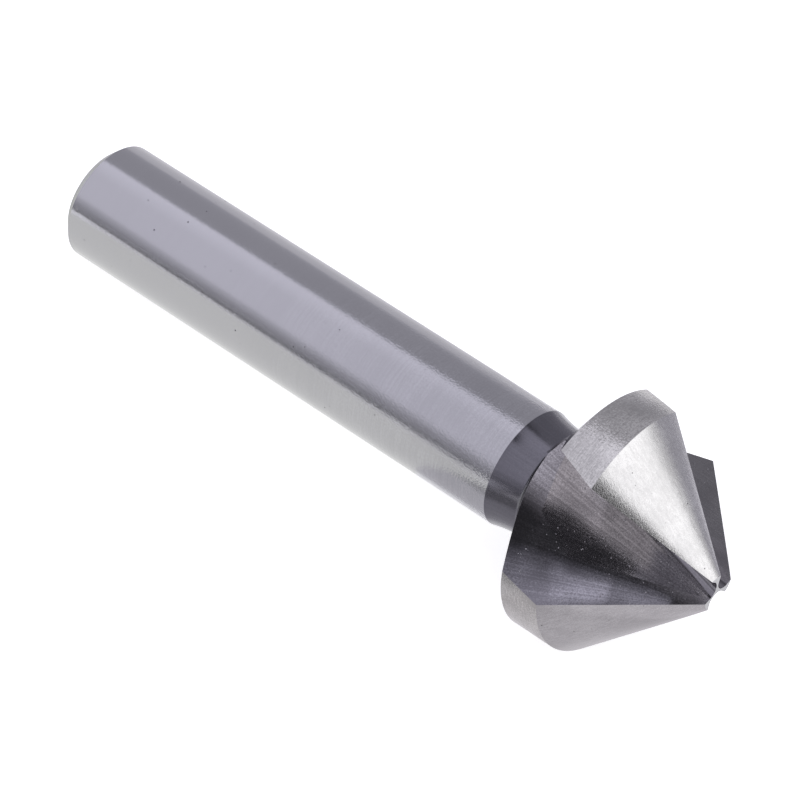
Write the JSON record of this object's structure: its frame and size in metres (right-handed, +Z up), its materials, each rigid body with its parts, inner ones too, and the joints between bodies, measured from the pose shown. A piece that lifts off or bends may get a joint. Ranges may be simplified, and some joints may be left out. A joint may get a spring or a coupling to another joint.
{
  "type": "countersink bit",
  "caption": "Fluted 90 degree countersink bit with a ground round shank, a short dark neck and relieved conical teeth.",
  "frame": {"origin": "centre of the bounding box's base, on the surface that the bit lies on", "axes": "+Z up; the tool's axis lies over +X, with the tip towards +X and raised 4.6 degrees, because the head is wider than the shank"},
  "size_m": [0.0632, 0.0204, 0.0195],
  "materials": {
    "tool_steel": "ground bright on the shank, the band and the cones of the teeth; dark heat-treated scale on the neck and in the flutes"
  },
  "bodies": {
    "root": {"countersink_bit": "tool_steel"}
  },
  "joints": []
}
